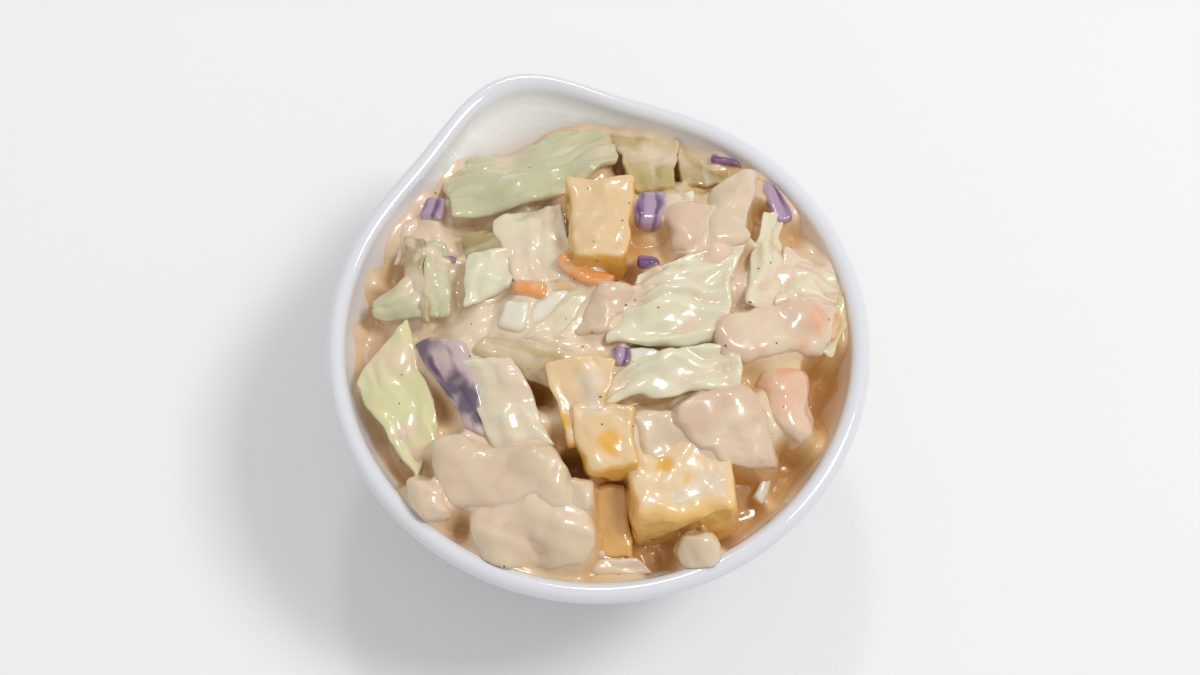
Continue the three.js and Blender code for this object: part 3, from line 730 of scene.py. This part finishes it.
# ---- Coated chunks ----
# Soft lumps that the dressing covers all over, cream to pink, with an orange end on the long one.
# Their coats run into each other, so they look like one mass with folds in it.
CHUNK = dict(PLAIN, thick=4.0, soft=0.8, round=0.25, waves=0.6, drape=0.85, lumps=1.1, overhang=0.3)
CHUNK_TINTS = {
    "cream": paint(214, 192, 160),
    "blush": paint(214, 184, 158),
    "peach": paint(224, 182, 150),
}
FLECK = paint(226, 158, 112)
FLECKS = [(36, -10.5, 3.2), (31.5, -13.5, 1.8), (27, -16, 2.6), (24, -13, 1.5)]
CHUNKS = [
    dict(tint="blush", at=(20, 12), size=(10, 6.6), turn=68, taper=-0.12, skew=-1.5,
         lift=1.9, thick=5, curl=0.8),
    dict(tint="cream", at=(28, 13.5), size=(17.5, 6.5), turn=59, skew=-5.5,
         lift=2.6, rise=(0, -0.6), thick=5, curl=0.9),
    dict(tint="blush", at=(1.5, 1.5), size=(11, 5.2), turn=40, skew=-3.5,
         lift=1.4, rise=(0.4, -0.6), thick=3, curl=0.5),
    dict(tint="blush", at=(28, -10), size=(20.5, 8.4), turn=-5, skew=3.5,
         lift=3.3, rise=(0.6, 0), thick=5, curl=1),
    dict(tint="peach", at=(25.5, -21.5), size=(13.5, 8), turn=84, taper=-0.4,
         lift=1, rise=(0.5, 0), thick=7, waves=0.9),
    dict(tint="blush", at=(14.5, -24), size=(13, 12.5), turn=106, taper=-0.2, skew=5,
         lift=2.8, rise=(0.7, 0), thick=5, curl=1.2),
    dict(tint="cream", at=(4, -22.5), size=(11, 8.4), turn=-12, taper=0.14,
         lift=1, rise=(0.7, 0.5), curl=0.6),
    dict(tint="cream", at=(-22.5, -20), size=(23, 10), turn=-31, skew=-3.5,
         lift=2.1, rise=(0.6, 0), thick=6, waves=0.8, curl=1),
    dict(tint="cream", at=(-20.5, -29), size=(19, 12), turn=-15, skew=-1.5,
         lift=2.3, thick=6.5, waves=1, curl=0.8),
    dict(tint="cream", at=(-12, -27), size=(5.4, 5.8), turn=-8, lift=2.1, rise=(-0.9, 0), waves=0.8),
    dict(tint="blush", at=(-14.5, -32), size=(6, 5.3), turn=0, skew=2,
         lift=2.5, rise=(-1.6, 0), waves=0.8),
    dict(tint="cream", at=(4, -40), size=(7, 6.5), turn=4, lift=2.6, thick=9, waves=0),
    dict(tint="cream", at=(-35.5, -19), size=(7, 6), turn=86, skew=3,
         lift=5.2, rise=(0, 1.5), thick=6, curl=0.8),
]
chunks = lay_pieces("coated_chunks", CHUNK, CHUNKS, CHUNK_TINTS, 500)


def chunk_flesh(start):
    """Cream and pink in soft clouds, with flecks of the carrot's colour."""
    cloud = start.mottle(start.place(), 6.0, 2.0).rise(0.4, 0.65)
    clouded = (cloud * 0.5).blend(start.stored("tint", 0), CHUNK_TINTS["cream"])
    flecks = spots(start, FLECKS) * 0.7
    return flecks.blend(clouded, FLECK)


chunks.data.materials.append(coated_finish("coated_chunk", chunk_flesh, 0.3))


# ---- Fruit cubes ----
# Cubes of ripe yellow fruit cut with a knife, amber on the sides and creamy where the dressing lies.
# The largest lies at the front, half sunk in the salad, with the others up the middle of the heap.
CUBE = dict(PLAIN, thick=8.0, soft=0.25, round=0.1, waves=0.2, drape=0, lumps=0.8, overhang=1.2)
FRUIT_TINTS = {
    "amber": paint(236, 190, 106, 0.9),
    "yellow": paint(222, 168, 70, 0.8),
    "deep": paint(222, 170, 88, 0.1),
}
BARE_FRUIT = paint(226, 168, 44)
BARE_SPOTS = [(-5, -21.5, 2.6), (-10.5, -15.5, 1.8), (6, -31.5, 2.2), (2.5, -27, 1.8)]
FRUIT_CUBES = [
    dict(tint="yellow", at=(5.5, 16), size=(16.5, 10.5), turn=70, taper=-0.15, skew=-1,
         lift=1.6, rise=(-3, 0), thick=9),
    dict(tint="yellow", at=(-7, -13), size=(14.5, 8.6), turn=73, taper=-0.4,
         lift=0.4, rise=(2.7, -0.5), thick=6),
    dict(tint="yellow", at=(-5, -20), size=(11.5, 9.6), turn=81, taper=-0.12, skew=1,
         lift=0.5, rise=(1.3, 0)),
    dict(tint="amber", at=(4.5, -29.5), size=(17.5, 14.5), turn=-11,
         lift=-2.4, rise=(-0.8, -1), thick=14),
    dict(tint="deep", at=(-8, -30.5), size=(12, 6.5), turn=78, lift=-4.4, rise=(4, 0), thick=6),
]
fruit = lay_pieces("fruit_cubes", CUBE, FRUIT_CUBES, FRUIT_TINTS, 600)


def fruit_flesh(start):
    """Amber on the sides, cream dressing lying on what faces up, and patches that it has slid off."""
    up = start.node("ShaderNodeSeparateXYZ", {}, {0: start.node("ShaderNodeNewGeometry", output=1)}, 2)
    patches = start.mottle(start.place(), 4.5, 2.0)
    across = start.node("ShaderNodeSeparateXYZ", {}, {0: start.stored("grain", 1)}, 2)
    lying = (up + patches * 0.6).rise(0.75, 1.2) * across.rise(-7.5, -4.5) * start.stored("tint", 3)
    dressed = (lying * 0.75).blend(start.stored("tint", 0), DRESSING_CREAM)
    return (spots(start, BARE_SPOTS) * 0.9).blend(dressed, BARE_FRUIT)


fruit.data.materials.append(coated_finish("yellow_fruit", fruit_flesh, -0.1, shade=0.3))


# ---- The dressing and the salad under it ----
# Thick cream dressing, poured on and tossed through. It rounds off every crease between the pieces,
# runs thin over their tops and hangs on the wall, and the salad below it fills the bowl.
FILLET = 1.5
THIN_COAT = 0.12
SUNK = 0.75
WALL_SINK = 0.8
HEAP_SPLITS = 260
WALL_RINGS = 8
GAP_REACH = 5.0
THICK_COAT = 0.9
HALVINGS = 24


def shifted(field, right, up):
    """A map moved by whole cells, its edge repeated."""
    columns = np.clip(np.arange(map_side) + right, 0, map_side - 1)
    lines = np.clip(np.arange(map_side) + up, 0, map_side - 1)
    return field[np.ix_(columns, lines)]


def rolled_ball(field, radius, outward):
    """The map that a ball's middle follows as it rolls over it, or under it."""
    cells = int(radius / MAP_CELL)
    best = None
    for right in range(-cells, cells + 1):
        for up in range(-cells, cells + 1):
            cap = radius**2 - (right**2 + up**2) * MAP_CELL**2
            if cap < 0:
                continue
            moved = shifted(field, right, up) + outward * math.sqrt(cap)
            if best is None:
                best = moved
            else:
                best = np.maximum(best, moved) if outward > 0 else np.minimum(best, moved)
    return best


def softened(field, radius):
    """A map blurred over a radius, by three passes of a moving mean each way."""
    cells = max(int(radius / MAP_CELL / 2), 1)
    for _ in range(3):
        for way in ((1, 0), (0, 1)):
            field = sum(shifted(field, way[0] * k, way[1] * k) for k in range(-cells, cells + 1))
            field = field / (2 * cells + 1)
    return field


def step_up(value, low, high):
    """Runs smoothly from 0 at one value to 1 at the other."""
    share = np.clip((value - low) / (high - low), 0, 1)
    return share * share * (3 - 2 * share)


def wall_height(x, y):
    """Height of the bowl's inside wall over a place in plan."""
    reach, angle = np.hypot(x, y), np.arctan2(y, x)
    low = np.full(np.shape(x), FLOOR_HEIGHT)
    high = np.full(np.shape(x), STRAIGHT_HEIGHT)
    for _ in range(HALVINGS):
        middle = (low + high) / 2
        wider = inside_radius(middle, angle) > reach
        high = np.where(wider, middle, high)
        low = np.where(wider, low, middle)
    return low


wall_map = wall_height(map_x, map_y)
solid_top = np.maximum(heap_top, wall_map)
filled = rolled_ball(rolled_ball(solid_top, FILLET, 1), FILLET, -1)
fill_depth = filled - solid_top
map_points[:, 2] = filled.ravel() * 0.3
patches = ripples(map_points, 13, 70) * 0.7 + ripples(map_points, 5, 71) * 0.3
thick_coat = step_up(patches, 0.35, 1.1).reshape(filled.shape)
dressing_top = filled - THIN_COAT - SUNK * (1 - step_up(fill_depth, 0.02, 0.35)) + thick_coat * THICK_COAT
dressing_top = softened(dressing_top, 0.3)
over_wall = dressing_top - wall_map
near_wall = 1 - step_up(over_wall, 0.5, 2.5)
dressing_top = wall_map + over_wall * (1 - near_wall) + softened(over_wall, 1.2) * near_wall
crest = softened(rolled_ball(filled, GAP_REACH, 1) - GAP_REACH, 3.0)


def from_map(field, points):
    """A map's value at each point, between its cells."""
    spot = np.clip((points[:, :2] + MAP_HALF) / MAP_CELL, 0, map_side - 1.001)
    cell = spot.astype(int)
    share = spot - cell
    i, j = cell.T
    p, q = share.T
    near = field[i, j] * (1 - p) + field[i + 1, j] * p
    far = field[i, j + 1] * (1 - p) + field[i + 1, j + 1] * p
    return near * (1 - q) + far * q


def mark_depths(piece):
    """Stores how far each point stands out of the dressing, and how deep in a gap it lies."""
    points = np.empty(len(piece.data.vertices) * 3, np.float32)
    piece.data.vertices.foreach_get("co", points)
    points = points.reshape(-1, 3).astype(float) / MM
    store(piece, "bare", points[:, 2] - from_map(dressing_top, points))
    store(piece, "gap", from_map(crest, points) - points[:, 2])


for piece in dressed_pieces:
    mark_depths(piece)

line = np.linspace(-1, 1, HEAP_SPLITS + 1)
a, b = np.meshgrid(line, line, indexing="ij")
wide = np.abs(a) > np.abs(b)
radius = np.where(wide, a, b)
lean = np.where(wide, b, a) / np.where(radius == 0, 1, radius) * math.pi / 4
angle = np.where(wide, lean, math.pi / 2 - lean)
disc_x, disc_y = radius * np.cos(angle), radius * np.sin(angle)
angle = np.arctan2(disc_y, disc_x)
edge = inside_radius(STRAIGHT_HEIGHT, angle) + WALL_SINK
top_points = np.stack([disc_x * edge, disc_y * edge, disc_x * 0], 2).reshape(-1, 3)
top_points[:, 2] = from_map(dressing_top, top_points)
beside_wall = wall_height(top_points[:, 0], top_points[:, 1])
at_edge = np.maximum(np.abs(a), np.abs(b)).ravel() > 0.999
top_points[at_edge, 2] = beside_wall[at_edge] - WALL_SINK
index = np.arange((HEAP_SPLITS + 1) ** 2).reshape(HEAP_SPLITS + 1, HEAP_SPLITS + 1)
quads = np.stack([index[:-1, :-1], index[1:, :-1], index[1:, 1:], index[:-1, 1:]], 2).reshape(-1, 4)
outline = np.concatenate([index[:-1, 0], index[-1, :-1], index[:0:-1, -1], index[0, :0:-1]])
heap_points = [top_points]
heap_faces = quads.tolist()
ring = outline
ring_angle = angle.ravel()[outline]
for step in range(1, WALL_RINGS + 1):
    height = STRAIGHT_HEIGHT - WALL_SINK - (STRAIGHT_HEIGHT - FLOOR_HEIGHT) * step / WALL_RINGS
    reach = inside_radius(height, ring_angle) + WALL_SINK
    first = sum(len(points) for points in heap_points)
    heap_points.append(np.stack([
        reach * np.cos(ring_angle), reach * np.sin(ring_angle), np.full(len(ring), height)
    ], 1))
    below = first + np.arange(len(ring))
    heap_faces += np.stack([ring, below, np.roll(below, -1), np.roll(ring, -1)], 1).tolist()
    ring = below
middle = sum(len(points) for points in heap_points)
heap_points.append(np.array([[0, 0, FLOOR_HEIGHT - WALL_SINK]]))
heap_faces += [[middle, two, one] for one, two in zip(ring.tolist(), np.roll(ring, -1).tolist())]
dressing = new_piece("dressing_and_salad", np.concatenate(heap_points), heap_faces)
mark_depths(dressing)

# The cream dressing's colour carries painted shade, tan to brown, down in the gaps.
dressing_finish, start = open_finish("cream_dressing")
place = start.place()
fine = start.mottle(place, 1.8, 3.0)
close_finish(start, {
    "Base Color": dressing_and_gap_shade(start),
    "Roughness": 0.2 + fine * 0.2,
    "Subsurface Weight": 0.15,
    "Subsurface Radius": (1.0, 0.7, 0.4),
    "Subsurface Scale": 1.5 * MM,
    "Coat Weight": 0.6,
    "Coat Roughness": 0.05,
    "Normal": start.bumped(fine, 0.05),
})
dressing.data.materials.append(dressing_finish)
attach(dressing, "root")
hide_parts("coleslaw")


# ---- Pepper and paprika ----
# Ground pepper and paprika from the dressing, flakes under a millimetre across.
# They lie strewn over whatever stands out of it.
FLAKES_PER_SQUARE_MM = 0.007
FLAKE_RADIUS = 0.22
FLAKE_SEED = 7
PEPPER = paint(112, 104, 82)
PAPRIKA = paint(176, 84, 58)


def strewn(name, hosts, density, radius, seed, material):
    """One mesh of small flakes strewn over the bare tops of the hosts."""
    tree = bpy.data.node_groups.new(name, "GeometryNodeTree")
    start = Finish(tree)
    tree.interface.new_socket("Geometry", in_out="INPUT", socket_type="NodeSocketGeometry")
    tree.interface.new_socket("Geometry", in_out="OUTPUT", socket_type="NodeSocketGeometry")
    values = {"Density": density, "Radius": radius, "Seed": seed}
    for label, value in values.items():
        kind = "NodeSocketInt" if isinstance(value, int) else "NodeSocketFloat"
        tree.interface.new_socket(label, in_out="INPUT", socket_type=kind)
    inputs = tree.nodes.new("NodeGroupInput")
    given = {label: Finish(tree, inputs.outputs[label]) for label in values}
    joined = start.node("GeometryNodeJoinGeometry")
    for host in hosts:
        surface = start.node("GeometryNodeObjectInfo", {}, {"Object": host}, "Geometry")
        tree.links.new(surface.socket, joined.socket.node.inputs[0])
    bare = start.node("GeometryNodeInputNamedAttribute", {"data_type": "FLOAT"}, {"Name": "bare"})
    standing = start.node("FunctionNodeCompare", {"operation": "GREATER_THAN"}, {0: bare, 1: -0.1})
    points = start.node("GeometryNodeDistributePointsOnFaces", {}, {
        "Mesh": joined, "Selection": standing, "Density": given["Density"], "Seed": given["Seed"],
    })
    turn = Finish(tree, points.socket.node.outputs["Rotation"])
    flake = start.node("GeometryNodeMeshIcoSphere", {}, {"Radius": given["Radius"], "Subdivisions": 2})
    stretch = {"Min": (0.4, 0.4, 0.2), "Max": (1.4, 1.0, 0.4), "Seed": given["Seed"]}
    scale = start.node("FunctionNodeRandomValue", {"data_type": "FLOAT_VECTOR"}, stretch)
    placed = {"Points": points, "Instance": flake, "Rotation": turn, "Scale": scale}
    flakes = start.node("GeometryNodeInstanceOnPoints", {}, placed)
    solid = start.node("GeometryNodeRealizeInstances", {}, {"Geometry": flakes})
    coloured = start.node("GeometryNodeSetMaterial", {}, {"Geometry": solid, "Material": material})
    start.node("NodeGroupOutput", {}, {"Geometry": coloured})
    carrier = new_piece(name + "_carrier", [[0, 0, 0]], [])
    modifier = carrier.modifiers.new(name, "NODES")
    modifier.node_group = tree
    for item in tree.interface.items_tree:
        if item.in_out == "INPUT" and item.name in values:
            modifier[item.identifier] = values[item.name]
    graph = bpy.context.evaluated_depsgraph_get()
    mesh = bpy.data.meshes.new_from_object(carrier.evaluated_get(graph), depsgraph=graph)
    carrier.modifiers.remove(modifier)
    bpy.data.objects.remove(carrier)
    piece = bpy.data.objects.new(name, mesh)
    bpy.context.scene.collection.objects.link(piece)
    return piece


flake_finish, start = open_finish("pepper_and_paprika")
kinds = start.mottle(start.place(), 5, 2.0).rise(0.56, 0.6)
close_finish(start, {"Base Color": kinds.blend(PEPPER, PAPRIKA), "Roughness": 0.5})
flakes = strewn(
    "pepper_flakes", dressed_pieces + [dressing],
    FLAKES_PER_SQUARE_MM / MM**2, FLAKE_RADIUS * MM, FLAKE_SEED, flake_finish,
)
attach(flakes, "root")
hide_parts("coleslaw")


# ---- The floor, the light and the camera ----
# A pale sheet of paper under the bowl, a soft window light from the right and a pale room round it.
# The camera looks down on the bowl at a steep slant, from a little to the left.
FLOOR_HALF = 3000.0
VIEW_HEIGHT = math.radians(66.7)
VIEW_TURN = math.radians(-18)
VIEW_DISTANCE = 350.0

floor = new_piece("floor", [
    (-FLOOR_HALF, -FLOOR_HALF, -0.05),
    (FLOOR_HALF, -FLOOR_HALF, -0.05),
    (FLOOR_HALF, FLOOR_HALF, -0.05),
    (-FLOOR_HALF, FLOOR_HALF, -0.05),
], [(0, 1, 2, 3)])
paper, start = open_finish("pale_paper")
fibres = start.mottle(start.place(), 30, 3.0)
close_finish(start, {
    "Base Color": (fibres * 0.3).blend(paint(238, 238, 238), paint(234, 234, 234)),
    "Roughness": 0.9,
    "Specular IOR Level": 0.1,
})
floor.data.materials.append(paper)

world = bpy.data.worlds.new("pale_room")
bpy.context.scene.world = world
world.use_nodes = True
world.node_tree.nodes["Background"].inputs["Color"].default_value = (1.0, 1.0, 1.0, 1.0)
world.node_tree.nodes["Background"].inputs["Strength"].default_value = 0.64


def add_lamp(name, turn, height, distance, size, power):
    """A square lamp aimed at the middle of the bowl."""
    light = bpy.data.lights.new(name, "AREA")
    light.shape = "SQUARE"
    light.size = size * MM
    light.energy = power
    lamp = bpy.data.objects.new(name, light)
    turn, height = math.radians(turn), math.radians(height)
    way = Vector((math.cos(turn) * math.cos(height), math.sin(turn) * math.cos(height), math.sin(height)))
    lamp.location = (Vector((0, 0, RIM_HEIGHT)) + way * distance) * MM
    lamp.rotation_euler = way.to_track_quat("Z", "Y").to_euler()
    bpy.context.scene.collection.objects.link(lamp)


add_lamp("window", -10, 58, 1500, 380, 9.0)
add_lamp("lamp", 75, 55, 1000, 90, 1.0)

camera = bpy.data.objects.new("camera", bpy.data.cameras.new("camera"))
back = Vector((
    math.sin(VIEW_TURN) * math.cos(VIEW_HEIGHT),
    -math.cos(VIEW_TURN) * math.cos(VIEW_HEIGHT),
    math.sin(VIEW_HEIGHT),
))
camera.location = (Vector((0, 0, RIM_HEIGHT)) + back * VIEW_DISTANCE) * MM
camera.rotation_euler = back.to_track_quat("Z", "Y").to_euler()
camera.data.lens = 62.3
camera.data.sensor_width = 36
camera.data.shift_x = 0.0015
camera.data.shift_y = -0.00075
camera.data.clip_start = 0.01
bpy.context.scene.collection.objects.link(camera)
bpy.context.scene.camera = camera
bpy.context.scene.view_settings.view_transform = "Standard"
